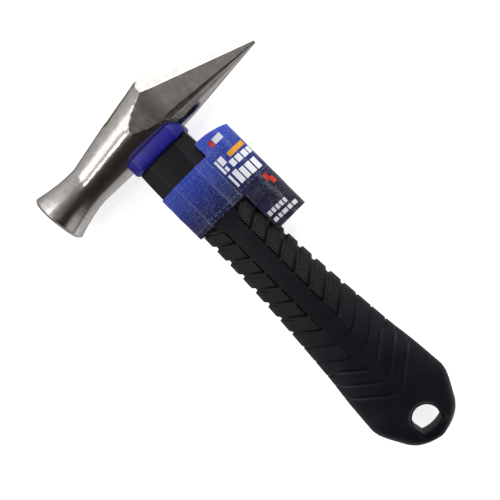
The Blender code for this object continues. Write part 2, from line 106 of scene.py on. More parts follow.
def node(tree, kind, inputs=(), stops=(), **settings):
    """Add a node, or take one that is there, with its settings, ramp colours, values and links."""
    made = tree.nodes.new("ShaderNode" + kind) if isinstance(kind, str) else kind
    for name, value in settings.items():
        setattr(made, name, value)
    if stops:
        ramp = made.color_ramp.elements
        for place, code in stops[1:-1]:
            ramp.new(place).color = linear(code)
        for end in (0, -1):
            ramp[end].position, ramp[end].color = stops[end][0], linear(stops[end][1])
    for key, value in dict(inputs).items():
        if isinstance(value, bpy.types.NodeSocket):
            tree.links.new(value, made.inputs[key])
        else:
            made.inputs[key].default_value = value
    return made


def start_material(name):
    """New material, its node tree and its Principled shader."""
    made = bpy.data.materials.new(name)
    made.use_nodes = True
    return made, made.node_tree, made.node_tree.nodes["Principled BSDF"]


def edit_new(name):
    """Name the primitive just added, put its place into its mesh and go into edit mode."""
    piece = bpy.context.object
    piece.name = piece.data.name = name
    bpy.ops.object.transform_apply(location=True, rotation=True, scale=True)
    bpy.ops.object.mode_set(mode="EDIT")
    bpy.ops.mesh.select_all(action="SELECT")
    return piece


def pick(kind, test):
    """In edit mode, select only the vertices, edges or faces that pass a test."""
    bpy.ops.mesh.select_mode(type=kind)
    bpy.ops.mesh.select_all(action="DESELECT")
    mesh = bmesh.from_edit_mesh(bpy.context.object.data)
    for part in {"VERT": mesh.verts, "EDGE": mesh.edges, "FACE": mesh.faces}[kind]:
        if test(part):
            part.select_set(True)
    bmesh.update_edit_mesh(bpy.context.object.data)


def upright(edge):
    """Whether an edge runs up the handle."""
    return abs(edge.verts[0].co.y - edge.verts[1].co.y) > 1 * MM


def apply_modifier(piece, kind, **settings):
    """Add a modifier with its settings and apply it."""
    bpy.context.view_layer.objects.active = piece
    step = piece.modifiers.new(kind.lower(), kind)
    for name, value in settings.items():
        setattr(step, name, value)
    bpy.ops.object.modifier_apply(modifier=step.name)


def finish_piece(piece, material, body, slot, smooth_angle, *nodes):
    """Shade a finished mesh, give it its material and tie it to the frame."""
    bpy.ops.object.select_all(action="DESELECT")
    piece.select_set(True)
    bpy.context.view_layer.objects.active = piece
    bpy.ops.object.shade_smooth_by_angle(angle=math.radians(smooth_angle))
    piece.data.materials.clear()
    piece.data.materials.append(material)
    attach(piece, body)
    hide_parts(*nodes)
    bpy.ops.object.select_all(action="DESELECT")


def eased(stations, place):
    """Value at a place, eased by a Catmull-Rom curve through (place, value) stations."""
    if place <= stations[0][0]:
        return stations[0][1]
    if place >= stations[-1][0]:
        return stations[-1][1]
    i = max(k for k, station in enumerate(stations) if station[0] <= place)
    (x1, v1), (x2, v2) = stations[i], stations[i + 1]
    x0, v0 = stations[max(i - 1, 0)]
    x3, v3 = stations[min(i + 2, len(stations) - 1)]
    span = x2 - x1
    t = (place - x1) / span
    rise1 = (v2 - v0) / (x2 - x0) * span
    rise2 = (v3 - v1) / (x3 - x1) * span
    return (
        v1 * (2 * t**3 - 3 * t**2 + 1)
        + rise1 * (t**3 - 2 * t**2 + t)
        + v2 * (3 * t**2 - 2 * t**3)
        + rise2 * (t**3 - t**2)
    )


def head_rings():
    """Round sections of the forging, from the face to the apex: x, centre, half sizes, tilt."""
    rings = []
    flat, rim = FACE_FLAT_DIAMETER / 2, FACE_DIAMETER / 2 - FACE_BEVEL
    for i in range(7):
        radius = flat + (rim - flat) * i / 6
        rise = FACE_DOME * (1 - (i / 6) ** 2)
        rings.append((FACE_X - FACE_BEVEL - rise, FACE_CENTRE, radius, radius, FACE_TILT))
    for i in range(17):
        t = i / 16
        radius = WAIST_DIAMETER / 2 + (FACE_DIAMETER - WAIST_DIAMETER) / 2 * (1 - t) ** 1.8
        x = FACE_X + (WAIST_X - FACE_X) * t
        centre = FACE_CENTRE + (WAIST_CENTRE - FACE_CENTRE) * t
        rings.append((x, centre, radius, radius, FACE_TILT * (1 - t)))
    keys = [
        (WAIST_X, WAIST_CENTRE, WAIST_DIAMETER / 2, WAIST_DIAMETER / 2),
        (SHOULDER_X, SHOULDER_HEIGHT / 2, SHOULDER_HEIGHT / 2, SHOULDER_THICKNESS / 2),
        (APEX_X, APEX_CENTRE, APEX_HEIGHT / 2, APEX_THICKNESS / 2),
    ]
    for i in range(1, 31):
        x = WAIST_X + (APEX_X - WAIST_X) * i / 30
        sizes = [eased([(key[0], key[k]) for key in keys], x) for k in (1, 2, 3)]
        rings.append((x, *sizes, 0.0))
    rings.append((TIP_X + 5 * MM, *rings[-1][1:]))
    return rings


def grind(point, normal):
    """Cut the pick's end of the head back to a plane and close the cut."""
    pick("FACE", lambda face: all(vert.co.x > AXIS_X + WAIST_X for vert in face.verts))
    bpy.ops.mesh.bisect(
        plane_co=point, plane_no=normal, use_fill=True, clear_outer=True, threshold=FINE,
    )


def pick_corner(height, half_z, at_tip):
    """Corner of the pick's section at its root, or the same corner at the tip."""
    if at_tip:
        rise = TIP_CENTRE + TIP_SCALE * (height - APEX_CENTRE)
        return at(TIP_X, SEAT + rise, TIP_SCALE * half_z)
    return at(APEX_X, SEAT + height, half_z)


rings = head_rings()
x, centre, half_y, half_z, tilt = rings[0]
bpy.ops.mesh.primitive_circle_add(
    vertices=HEAD_SIDES, radius=half_y, fill_type="NGON", location=at(x, SEAT + centre),
    rotation=(0, math.pi / 2, 0),
)
head = edit_new("forged_head")
bpy.ops.mesh.select_mode(type="FACE")
bpy.ops.transform.rotate(value=-tilt, orient_axis="Z", center_override=at(x, SEAT + centre))
for ring in rings[1:]:
    old_x, old_centre, old_y, old_z, old_tilt = x, centre, half_y, half_z, tilt
    x, centre, half_y, half_z, tilt = ring
    move = (x - old_x, centre - old_centre, 0)
    pivot = at(x, SEAT + centre)
    bpy.ops.mesh.extrude_region_move(TRANSFORM_OT_translate={"value": move})
    bpy.ops.transform.rotate(value=old_tilt, orient_axis="Z", center_override=pivot)
    bpy.ops.transform.resize(value=(1, half_y / old_y, half_z / old_z), center_override=pivot)
    bpy.ops.transform.rotate(value=-tilt, orient_axis="Z", center_override=pivot)
bpy.ops.mesh.select_all(action="SELECT")
bpy.ops.mesh.normals_make_consistent(inside=False)

crown, keel = APEX_CENTRE + APEX_HEIGHT / 2, APEX_CENTRE - APEX_HEIGHT / 2
cheek = CHEEK_THICKNESS / 2
for side in (-1, 1):
    grind(at(0, 0, side * cheek), (0, 0, side))
corners = [
    (keel + LOWER_BEVEL, cheek), (crown - UPPER_BEVEL, cheek),
    (crown, TOP_FLAT / 2), (crown, -TOP_FLAT / 2),
    (crown - UPPER_BEVEL, -cheek), (keel + LOWER_BEVEL, -cheek),
    *[(keel + rise, -half) for rise, half in LOWER_CORNER],
    (keel, -BOTTOM_FLAT / 2), (keel, BOTTOM_FLAT / 2),
    *[(keel + rise, half) for rise, half in reversed(LOWER_CORNER)],
]
inside = at(APEX_X, SEAT + APEX_CENTRE)
planes = []
for here, after in zip(corners, corners[1:] + corners[:1]):
    start = pick_corner(*here, False)
    normal = (pick_corner(*after, False) - start).cross(pick_corner(*here, True) - start)
    if normal.dot(start - inside) < 0:
        normal.negate()
    planes.append((start, normal.normalized()))
for plane in planes:
    grind(*plane)
fade = math.atan(cheek * (1 - TIP_SCALE) / (TIP_X - APEX_X))
bend = CREASE_SOFTENING / math.tan(fade / 2)
for step in range(1, 7):
    turn = fade * step / 7
    x = APEX_X - CREASE_SOFTENING + bend * math.sin(turn)
    z = cheek - bend * (1 - math.cos(turn))
    for side in (-1, 1):
        grind(at(x, 0, side * z), (math.sin(turn), 0, side * math.cos(turn)))
grind(at(TIP_X, 0), (1, 0, 0))
pick("VERT", lambda vert: WAIST_X < vert.co.x - AXIS_X < APEX_X - CREASE_SOFTENING + FINE)
bpy.ops.mesh.remove_doubles(threshold=SLIVER)
for vert in bmesh.from_edit_mesh(head.data).verts:
    half = vert.co.z - MID_Z
    if abs(cheek - abs(half)) < CHEEK_SNAP and vert.co.x < AXIS_X + APEX_X - CREASE_SOFTENING:
        vert.co.z = MID_Z + math.copysign(cheek, half)
bpy.ops.object.mode_set(mode="OBJECT")
apply_modifier(
    head, "BEVEL", width=BEVEL, segments=3, limit_method="ANGLE", angle_limit=BEVEL_ANGLE,
    use_clamp_overlap=False,
)
for vert in head.data.vertices:
    vert.co.z = min(MID_Z + cheek, max(MID_Z - cheek, vert.co.z))
bpy.ops.object.mode_set(mode="EDIT")
bpy.ops.mesh.select_all(action="SELECT")
low = at(FACE_X - 3 * MM, SEAT - 1 * MM, -cheek)
high = at(TIP_X, SEAT + crown, cheek)
for axis, first in ((0, WAIST_X + AXIS_X), (1, low.y), (2, low.z)):
    normal = [0.0, 0.0, 0.0]
    normal[axis] = 1.0
    place = first + SLICE / 2
    while place < high[axis]:
        pick("FACE", lambda face: all(vert.co.x > AXIS_X + WAIST_X for vert in face.verts))
        point = [0.0, 0.0, 0.0]
        point[axis] = place
        bpy.ops.mesh.bisect(plane_co=point, plane_no=normal, threshold=FINE)
        place += SLICE
bpy.ops.object.mode_set(mode="OBJECT")

# Linished forged steel: bright and hard, with grit lines across the head that draw the lights
# out into streaks, and soft waves and faint blotches that keep the mirror uneven. Real grit
# lines are too fine to show, so they are drawn about 0.5 mm wide.
GRIT_SPACING = 0.55 * MM
WAVE_LENGTH = 8 * MM
steel, tree, shader = start_material("linished_forged_steel")
place = node(tree, "TexCoord").outputs["Object"]
leaning = node(tree, "Mapping", {"Vector": place, "Rotation": (0, 0, math.radians(-12))})
across = node(tree, "Mapping", {"Vector": leaning.outputs[0], "Scale": (1, 0.035, 0.035)})
lines = node(
    tree, "TexNoise", {"Vector": across.outputs[0], "Scale": 1 / GRIT_SPACING, "Detail": 4},
)
waves = node(tree, "TexNoise", {"Vector": place, "Scale": 1 / WAVE_LENGTH, "Detail": 2.5})
blotches = node(tree, "TexNoise", {"Vector": place, "Scale": 1 / (3 * MM), "Detail": 5})
wave_bump = node(
    tree, "Bump", {"Height": waves.outputs["Fac"], "Distance": 0.09 * MM, "Strength": 1.0}
)
line_bump = node(
    tree, "Bump",
    {"Height": lines.outputs["Fac"], "Distance": 0.02 * MM, "Normal": wave_bump.outputs[0]},
)
tone = node(
    tree, "ValToRGB", {"Fac": blotches.outputs["Fac"]}, stops=((0.3, "A6A29E"), (0.7, "B9B5B1")),
)
rough = node(tree, "MapRange", {"Value": lines.outputs["Fac"], "To Min": 0.15, "To Max": 0.26})
node(
    tree, shader,
    {"Base Color": tone.outputs["Color"], "Metallic": 1.0, "Roughness": rough.outputs[0],
     "Normal": line_bump.outputs[0]},
)
finish_piece(head, steel, "root", "head_steel", 8, "hammer_head")

# ------------------------------------------------------------------ eye of the head
# The eye goes straight through the head. The end of the glass-fibre core stands in it with
# black epoxy cast all round, and both are ground off just under the top of the head.

CORE_HALF = (7.5 * MM, 4.5 * MM)  # half sizes of the core's section
CORE_LOW = 50 * MM
EYE_HALF = (9.6 * MM, 6.6 * MM)   # half sizes of the eye
EYE_CORNER = 2.6 * MM
CORE_CORNER = 0.4 * MM
CLEAR = 200 * MM                  # above the head, where a cutting bar may end
EYE_FLUSH = 0.08 * MM             # how far the ground ends stay under the head's top


def upright_bar(name, half_x, half_z, low, high, corner=0.0):
    """Upright square bar round the handle's axis, its corners rounded if a size is given."""
    middle = at(0, (low + high) / 2)
    bpy.ops.mesh.primitive_cube_add(size=1, location=middle)
    piece = edit_new(name)
    bpy.ops.transform.resize(value=(2 * half_x, high - low, 2 * half_z), center_override=middle)
    if corner:
        pick("EDGE", upright)
        bpy.ops.mesh.bevel(offset=corner, segments=4, affect="EDGES")
    bpy.ops.object.mode_set(mode="OBJECT")
    return piece


def combine(piece, other, operation):
    """Fuse with another body, cut by it or keep what both share, and remove the other."""
    apply_modifier(piece, "BOOLEAN", object=other, operation=operation)
    bpy.data.objects.remove(other)


def head_copy(drop):
    """Copy of the head, moved down, as a tool for fitting another piece to it."""
    made = head.copy()
    made.data = head.data.copy()
    bpy.context.scene.collection.objects.link(made)
    made.location.y = -drop
    bpy.context.view_layer.update()
    return made


core = upright_bar("glass_fibre_core", *CORE_HALF, CORE_LOW, CLEAR, CORE_CORNER)
mould = head_copy(EYE_FLUSH)
combine(mould, upright_bar("below", 11 * MM, 8 * MM, 40 * MM, SEAT + 4 * MM), "UNION")
combine(core, mould, "INTERSECT")
resin = upright_bar("epoxy_fill", *EYE_HALF, SEAT, CLEAR, EYE_CORNER)
combine(resin, head_copy(EYE_FLUSH), "INTERSECT")
combine(resin, upright_bar("core_space", *CORE_HALF, 100 * MM, CLEAR + 1 * MM), "DIFFERENCE")
combine(head, upright_bar("eye", *EYE_HALF, 150 * MM, CLEAR + 2 * MM, EYE_CORNER), "DIFFERENCE")

# Pultruded glass fibre, cut across: a straw-coloured end, speckled where the rovings stand
# between darker resin. A fibre is far too fine to show, so the bundles are drawn at 0.5 mm.
ROVING_WIDTH = 0.5 * MM
fibre, tree, shader = start_material("pultruded_glass_fibre")
place = node(tree, "TexCoord").outputs["Object"]
strands = node(tree, "Mapping", {"Vector": place, "Scale": (1, 0.02, 1)})
rovings = node(
    tree, "TexNoise", {"Vector": strands.outputs[0], "Scale": 1 / ROVING_WIDTH, "Detail": 3},
)
tone = node(
    tree, "ValToRGB", {"Fac": rovings.outputs["Fac"]}, stops=((0.35, "9C8A52"), (0.65, "CDBE8C")),
)
bump = node(tree, "Bump", {"Height": rovings.outputs["Fac"], "Distance": 0.03 * MM})
node(tree, shader, {"Base Color": tone.outputs[0], "Roughness": 0.45, "Normal": bump.outputs[0]})
finish_piece(core, fibre, "root", "core_fibre", 30, "handle_core")

# Black casting epoxy: glassy, brownish black, with shallow flow marks that break its shine.
epoxy, tree, shader = start_material("black_epoxy")
place = node(tree, "TexCoord").outputs["Object"]
flow = node(tree, "TexNoise", {"Vector": place, "Scale": 1 / (1.5 * MM), "Detail": 3})
rough = node(tree, "MapRange", {"Value": flow.outputs["Fac"], "To Min": 0.15, "To Max": 0.4})
bump = node(tree, "Bump", {"Height": flow.outputs["Fac"], "Distance": 0.05 * MM})
node(
    tree, shader,
    {"Base Color": linear("15130F"), "Roughness": rough.outputs[0], "Normal": bump.outputs[0]},
)
finish_piece(resin, epoxy, "root", "eye_resin", 30, "eye_resin")

# ------------------------------------------------------------------ collar
# Injection-moulded sleeve of ultramarine polypropylene, eight-sided with softened edges. It is
# pushed over the end of the jacket, and its top is saddled to the underside of the head.

COLLAR_CORNER = 3.9 * MM
COLLAR_ROUNDING = 0.6 * MM
COLLAR_LOWER_BEVEL = 1.3 * MM
COLLAR_UPPER_BEVEL = 0.4 * MM
COLLAR_BORE = (10.3 * MM, 7.3 * MM)             # half sizes
SADDLE_GAP = 0.25 * MM

size = collar_high - collar_low
middle = (collar_low + collar_high) / 2
bpy.ops.mesh.primitive_cube_add(size=1, location=middle)
collar = edit_new("collar_sleeve")
bpy.ops.transform.resize(value=size, center_override=middle)
pick("EDGE", upright)
bpy.ops.mesh.bevel(offset=COLLAR_CORNER, segments=1, affect="EDGES")
pick("EDGE", upright)
bpy.ops.mesh.bevel(offset=COLLAR_ROUNDING, segments=4, affect="EDGES")
pick("EDGE", lambda edge: all(vert.co.y < collar_low.y + FINE for vert in edge.verts))
bpy.ops.mesh.bevel(offset=COLLAR_LOWER_BEVEL, segments=4, affect="EDGES")
pick("EDGE", lambda edge: all(vert.co.y > collar_high.y - FINE for vert in edge.verts))
bpy.ops.mesh.bevel(offset=COLLAR_UPPER_BEVEL, segments=3, affect="EDGES")
bpy.ops.object.mode_set(mode="OBJECT")
combine(collar, upright_bar("bore", *COLLAR_BORE, 150 * MM, 180 * MM), "DIFFERENCE")
combine(collar, head_copy(SADDLE_GAP), "DIFFERENCE")

# Moulded polypropylene, ultramarine: a deep even blue with a broad waxy shine that varies a
# little from place to place. Its skin is drawn at 0.8 mm, since the real one is too fine to show.
blue, tree, shader = start_material("ultramarine_polypropylene")
place = node(tree, "TexCoord").outputs["Object"]
skin = node(tree, "TexNoise", {"Vector": place, "Scale": 1 / (0.8 * MM), "Detail": 4})
patches = node(tree, "TexNoise", {"Vector": place, "Scale": 1 / (6 * MM), "Detail": 2})
tone = node(
    tree, "ValToRGB", {"Fac": patches.outputs["Fac"]}, stops=((0.3, "110B76"), (0.7, "17108A")),
)
rough = node(tree, "MapRange", {"Value": patches.outputs["Fac"], "To Min": 0.3, "To Max": 0.45})
bump = node(tree, "Bump", {"Height": skin.outputs["Fac"], "Distance": 0.02 * MM})
node(
    tree, shader,
    {"Base Color": tone.outputs[0], "Roughness": rough.outputs[0], "IOR": 1.49,
     "Normal": bump.outputs[0]},
)
finish_piece(collar, blue, "root", "collar_plastic", 30, "collar")

# ------------------------------------------------------------------ handle jacket
# Glass-filled nylon moulded over the core: an eight-sided neck, a smooth spine band down the
# front and back between the rubber pads, and a tongue under the rubber. Satin black.

BUTT_LENGTH = 48 * MM
NECK_BOTTOM = 125 * MM
HANDLE_LENGTH = 160.2 * MM
NECK_WIDTH = 25.2 * MM
NECK_THICKNESS = 21 * MM
NECK_BULGE = 0.5 * MM
NECK_FLAT_TOP = 14 * MM
NECK_FLAT_BOTTOM = 10.5 * MM
NECK_SIDE_FLAT = 11 * MM
SPINE_WIDTH = 7.5 * MM
PAD_THICKNESS = 2.6 * MM
GAP = 0.3 * MM                    # room left between two mouldings
SEAM = 0.06 * MM                  # line between the rubber and what it meets
SECTION_POWER = 2.5               # 2 would make the handle's section an ellipse
FLARE_HEIGHT = 18 * MM
FLARE_WIDTH = 40 * MM
BUTT_ARC_RADIUS = 19 * MM
TONGUE_FOOT = 20.5 * MM
FLARE_START = 119.5 * MM
SPIGOT = (10 * MM, 7 * MM)        # half sizes
SPINE_FLARE = 2.45 * MM
NECK_ROUNDING = 0.5 * MM
SPINE_ROUNDING = 0.45 * MM
CORE_PLAY = 0.02 * MM


def outline(y):
    """Half of the handle's width before the butt's widest corner is rounded."""
    flank = [
        (FLARE_HEIGHT, FLARE_WIDTH / 2), (36 * MM, 18.5 * MM), (BUTT_LENGTH, 17 * MM),
        (78.8 * MM, 14.53 * MM), (99.6 * MM, 13.3 * MM), (NECK_BOTTOM, NECK_WIDTH / 2),
    ]
    if y >= FLARE_HEIGHT:
        return eased(flank, y)
    reach = BUTT_ARC_RADIUS - min(y, BUTT_ARC_RADIUS)
    arc = math.sqrt(BUTT_ARC_RADIUS**2 - reach**2)
    return min(arc, FLARE_WIDTH / 2 * (0.5 + 0.5 * y / FLARE_HEIGHT))


def half_width(y):
    """Half of the handle's width at a height above the butt end."""
    reach = min(2.2 * MM, y / 2)
    return sum(outline(y + reach * shift / 4) for shift in range(-4, 5)) / 9


def half_thickness(y):
    """Half of the handle's thickness at a height above the butt end."""
    stations = [
        (0, 5.1 * MM), (2.16 * MM, 6.9 * MM), (7.2 * MM, 7.5 * MM), (FLARE_HEIGHT, 7.95 * MM),
        (BUTT_LENGTH, 10.17 * MM), (82.65 * MM, 11.3 * MM), (NECK_BOTTOM, 10.9 * MM),
    ]
    return eased(stations, y)


def extrude_up(levels):
    """Extrude the selected face up the handle through the heights."""
    for here, after in zip(levels, levels[1:]):
        bpy.ops.mesh.extrude_region_move(TRANSFORM_OT_translate={"value": (0, after - here, 0)})


def steps(start, end, count):
    """Evenly spaced values, both ends included."""
    return [start + (end - start) * i / count for i in range(count + 1)]


def flare(y):
    """How far the spine spreads towards each side where it runs out into the neck."""
    return SPINE_FLARE * min(1, max(0, (y - FLARE_START) / (NECK_BOTTOM - FLARE_START)))


def handle_bar(name, levels, inset, sides):
    """Solid with the handle's oval section through the heights, inside its surface by inset."""
    bpy.ops.mesh.primitive_circle_add(
        vertices=sides, radius=1, fill_type="NGON", location=at(0, levels[0]),
        rotation=(math.pi / 2, 0, 0),
    )
    piece = edit_new(name)
    for vert in bmesh.from_edit_mesh(piece.data).verts:
        for axis, centre in ((0, AXIS_X), (2, MID_Z)):
            part = vert.co[axis] - centre
            vert.co[axis] = centre + math.copysign(abs(part) ** (2 / SECTION_POWER), part)
    bpy.ops.mesh.select_mode(type="FACE")
    wide, thick = 1, 1
    for i, y in enumerate(levels):
        if i:
            bpy.ops.mesh.extrude_region_move(
                TRANSFORM_OT_translate={"value": (0, y - levels[i - 1], 0)}
            )
        half_x, half_z = half_width(y) - inset, half_thickness(y) - inset
        bpy.ops.transform.resize(
            value=(half_x / wide, 1, half_z / thick), center_override=at(0, y),
        )
        wide, thick = half_x, half_z
    bpy.ops.mesh.select_all(action="SELECT")
    bpy.ops.mesh.normals_make_consistent(inside=False)
    bpy.ops.object.mode_set(mode="OBJECT")
    return piece


levels = steps(NECK_BOTTOM, HANDLE_LENGTH, 8)
bpy.ops.mesh.primitive_circle_add(
    vertices=8, radius=10 * MM, fill_type="NGON", location=at(0, levels[0]),
    rotation=(math.pi / 2, math.pi / 8, 0),
)
jacket = edit_new("handle_jacket_moulding")
bpy.ops.mesh.select_mode(type="FACE")
extrude_up(levels)
bpy.ops.mesh.select_all(action="SELECT")
bpy.ops.mesh.normals_make_consistent(inside=False)
wide, narrow = 10 * MM * math.cos(math.pi / 8), 10 * MM * math.sin(math.pi / 8)
for i, y in enumerate(levels):
    share = i / 8
    flat = NECK_FLAT_BOTTOM + (NECK_FLAT_TOP - NECK_FLAT_BOTTOM) * share
    side = NECK_WIDTH / 2 + NECK_BULGE * math.sin(math.pi * share)
    front = (flat / 2 / narrow, 1, NECK_THICKNESS / 2 / wide)
    flank = (side / wide, 1, NECK_SIDE_FLAT / 2 / narrow)
    for on_front, factors in ((True, front), (False, flank)):
        pick("VERT", lambda vert: (
            abs(vert.co.y - BUTT_Y - y) < 0.1 * MM
            and (abs(vert.co.z - MID_Z) > abs(vert.co.x - AXIS_X)) == on_front
        ))
        bpy.ops.transform.resize(value=factors, center_override=at(0, y))
pick("EDGE", upright)
bpy.ops.mesh.bevel(offset=NECK_ROUNDING, segments=3, affect="EDGES")
bpy.ops.object.mode_set(mode="OBJECT")

levels = steps(BUTT_LENGTH + SEAM, FLARE_START, 14) + steps(FLARE_START, NECK_BOTTOM, 4)[1:]
bpy.ops.mesh.primitive_cube_add(size=1, location=at(0, levels[0] - 0.5))
spine = edit_new("spine")
pick("VERT", lambda vert: vert.co.y < BUTT_Y + levels[0] - 0.6)
bpy.ops.mesh.delete(type="VERT")
pick("VERT", lambda vert: True)
bpy.ops.transform.resize(
    value=(SPINE_WIDTH, 1, 2 * half_thickness(levels[0])), center_override=at(0, levels[0]),
)
bpy.ops.mesh.edge_face_add()
bpy.ops.mesh.select_mode(type="FACE")
for here, after in zip(levels, levels[1:]):
    bpy.ops.mesh.extrude_region_move(TRANSFORM_OT_translate={"value": (0, after - here, 0)})
    spread = (SPINE_WIDTH / 2 + flare(after)) / (SPINE_WIDTH / 2 + flare(here))
    ratio = half_thickness(after) / half_thickness(here)
    bpy.ops.transform.resize(value=(spread, 1, ratio), center_override=at(0, after))
bpy.ops.mesh.select_all(action="SELECT")
bpy.ops.mesh.normals_make_consistent(inside=False)
pick("EDGE", upright)
bpy.ops.mesh.bevel(offset=SPINE_ROUNDING, segments=3, affect="EDGES")
bpy.ops.object.mode_set(mode="OBJECT")

levels = steps(TONGUE_FOOT, NECK_BOTTOM + 1 * MM, 20)
tongue = handle_bar("tongue", levels, PAD_THICKNESS + GAP, 64)

for part in (
    tongue, spine,
    upright_bar("spigot", *SPIGOT, HANDLE_LENGTH - 2 * MM, HANDLE_LENGTH + 2.6 * MM),
):
    combine(jacket, part, "UNION")
combine(
    jacket,
    upright_bar(
        "core_space", *[half + CORE_PLAY for half in CORE_HALF], CORE_LOW - 0.1 * MM, CLEAR,
    ),
    "DIFFERENCE",
)

# Glass-filled nylon, black: a satin skin with a cool tinge, clouded where the glass lies close
# under it. Its grain is drawn at 0.35 mm, since the real one is too fine to show.
nylon, tree, shader = start_material("glass_filled_nylon")
place = node(tree, "TexCoord").outputs["Object"]
grain = node(tree, "TexNoise", {"Vector": place, "Scale": 1 / (0.35 * MM), "Detail": 3})
patches = node(tree, "TexNoise", {"Vector": place, "Scale": 1 / (5 * MM), "Detail": 3})
tone = node(
    tree, "ValToRGB", {"Fac": patches.outputs["Fac"]}, stops=((0.3, "09070D"), (0.7, "0E0B15")),
)
rough = node(tree, "MapRange", {"Value": patches.outputs["Fac"], "To Min": 0.36, "To Max": 0.5})
bump = node(tree, "Bump", {"Height": grain.outputs["Fac"], "Distance": 0.02 * MM})
node(
    tree, shader,
    {"Base Color": tone.outputs[0], "Roughness": rough.outputs[0], "IOR": 1.5,
     "Specular IOR Level": 0.28, "Normal": bump.outputs[0]},
)
finish_piece(jacket, nylon, "root", "jacket_plastic", 25, "handle_jacket")

# ------------------------------------------------------------------ tread pads
# Moulded rubber, one pad on each side of the handle. Slanting lugs with a slope on their lower
# side and a steep wall on their upper side run round the side; a sunken lane parts them from
# the spine. Lower down the lugs fade into thin chevron grooves. Matt, slightly grey.

PAD_LOW = BUTT_LENGTH + SEAM
PAD_HIGH = NECK_BOTTOM - GAP
INNER_TOP = 113.9 * MM            # first groove beside the lane
INNER_PITCH = 8.15 * MM
GROOVE_RISE = 4.5 * MM            # how much higher it is at the side
RISE_GAIN = 0.5 * MM              # added to the rise with each groove
GROOVE_START = 5 * MM
LANE_EDGE = SPINE_WIDTH / 2 + SEAM
LANE_DEPTH = 1.0 * MM
TREAD_DEPTH = 1.2 * MM
# across the lane: millimetres from its edge, and its share of the full depth there
LANE = [(0, 1), (0.25, 1), (0.42, 0.95), (0.55, 0.7), (0.75, 0.2), (0.95, 0.0), (1.2, 0)]
# across a groove: place as a share of the pitch, and the share of the full depth there
GROOVE = [
    (-0.25, 0), (-0.21, 0.03), (-0.17, 0.15), (-0.1, 0.65), (-0.07, 0.88), (-0.03, 1), (0.03, 1),
    (0.09, 1), (0.12, 0.93), (0.14, 0.6), (0.155, 0.15), (0.175, 0), (0.3, 0), (0.5, 0), (0.63, 0),
]
# row by row down the handle, how wide and how deep the groove still is
GROOVE_SHRINK = [1, 1, 1, 1, 1, 1, 1, 0.95, 0.75, 0.45, 0.36, 0.36, 0.36]
GROOVE_SHARE = [1, 1, 1, 1, 1, 1, 1, 0.9, 0.75, 0.5, 0.42, 0.42, 0.42]
FIRST_ROW = -2
SIDE_COLUMNS = 26
LANE_FADE = (52 * MM, 78 * MM)    # the lane deepens between these heights
RIB_SLANT = math.radians(27)
RIB_SPACING = 1 * MM
RIB_FADE = (58 * MM, 84 * MM)     # the ribs come in between these heights


def tread_point(k, column):
    """Half width, height and half thickness of a pad's smooth surface on a groove line."""
    y = INNER_TOP - INNER_PITCH * k
    for _ in range(4):
        wide, thick = half_width(y), half_thickness(y)
        x = LANE_EDGE + LANE[min(column, len(LANE) - 1)][0] * MM + flare(y)
        if column >= len(LANE):
            start = math.acos((x / wide) ** (SECTION_POWER / 2))
            share = (column - len(LANE) + 1) / SIDE_COLUMNS
            x = wide * math.cos(start * (1 - share) ** 1.25) ** (2 / SECTION_POWER)
        slant = max(0, (x - GROOVE_START) / (wide - GROOVE_START))
        y = INNER_TOP - INNER_PITCH * k + slant * (GROOVE_RISE + RISE_GAIN * k)
    return x, y, thick * max(0, 1 - (x / wide) ** SECTION_POWER) ** (1 / SECTION_POWER)


def outward(x, z, y):
    """Unit vector square to the handle's oval surface."""
    wide, thick = half_width(y), half_thickness(y)
    turn_x = math.copysign(abs(x / wide) ** (SECTION_POWER - 1) / wide, x)
    turn_z = math.copysign(abs(z / thick) ** (SECTION_POWER - 1) / thick, z)
    return Vector((turn_x, 0, turn_z)).normalized()


rows = [
    (i + FIRST_ROW + spot * shrink, depth * share)
    for i, (shrink, share) in enumerate(zip(GROOVE_SHRINK, GROOVE_SHARE))
    for spot, depth in GROOVE
]
pads = []
for side, name in ((-1, "face_side_tread_pad"), (1, "pick_side_tread_pad")):
    half = len(LANE) + SIDE_COLUMNS - 1
    bpy.ops.mesh.primitive_grid_add(
        x_subdivisions=2 * half, y_subdivisions=len(rows) - 1, size=1, location=(0, 0, 0),
    )
    pad = bpy.context.object
    pad.name = pad.data.name = name
    relief = pad.vertex_groups.new(name="relief")
    for vert in pad.data.vertices:
        column = round((vert.co.x + 0.5) * 2 * half)
        k, depth = rows[round((0.5 - vert.co.y) * (len(rows) - 1))]
        mirror = 1 if column <= half else -1
        column = min(column, 2 * half - column)
        x, y, z = tread_point(k, column)
        vert.co = at(side * x, y, mirror * z)
        lane = LANE[column][1] * LANE_DEPTH / TREAD_DEPTH if column < len(LANE) else 0
        lane *= min(1, max(0, (y - LANE_FADE[0]) / (LANE_FADE[1] - LANE_FADE[0])))
        relief.add([vert.index], max(lane, depth), "REPLACE")
    bpy.ops.object.mode_set(mode="EDIT")
    for height, normal in ((PAD_LOW, (0, -1, 0)), (PAD_HIGH, (0, 1, 0))):
        bpy.ops.mesh.select_all(action="SELECT")
        bpy.ops.mesh.bisect(
            plane_co=at(0, height), plane_no=normal, clear_outer=True, threshold=FINE,
        )
    bpy.ops.object.mode_set(mode="OBJECT")
    facing = sum(face.normal.x * side for face in pad.data.polygons)
    if facing < 0:
        pad.data.flip_normals()
    outer = len(pad.data.vertices)
    apply_modifier(pad, "SOLIDIFY", thickness=PAD_THICKNESS, offset=-1)
    lug = pad.data.attributes.new("lug", "FLOAT", "POINT")
    for vert in pad.data.vertices[:outer]:
        depth = vert.groups[0].weight if vert.groups else 0
        lug.data[vert.index].value = 1 - depth
        x, y, z = vert.co - at(0, 0)
        vert.co -= outward(x, z, y) * depth * TREAD_DEPTH
    pads.append(pad)

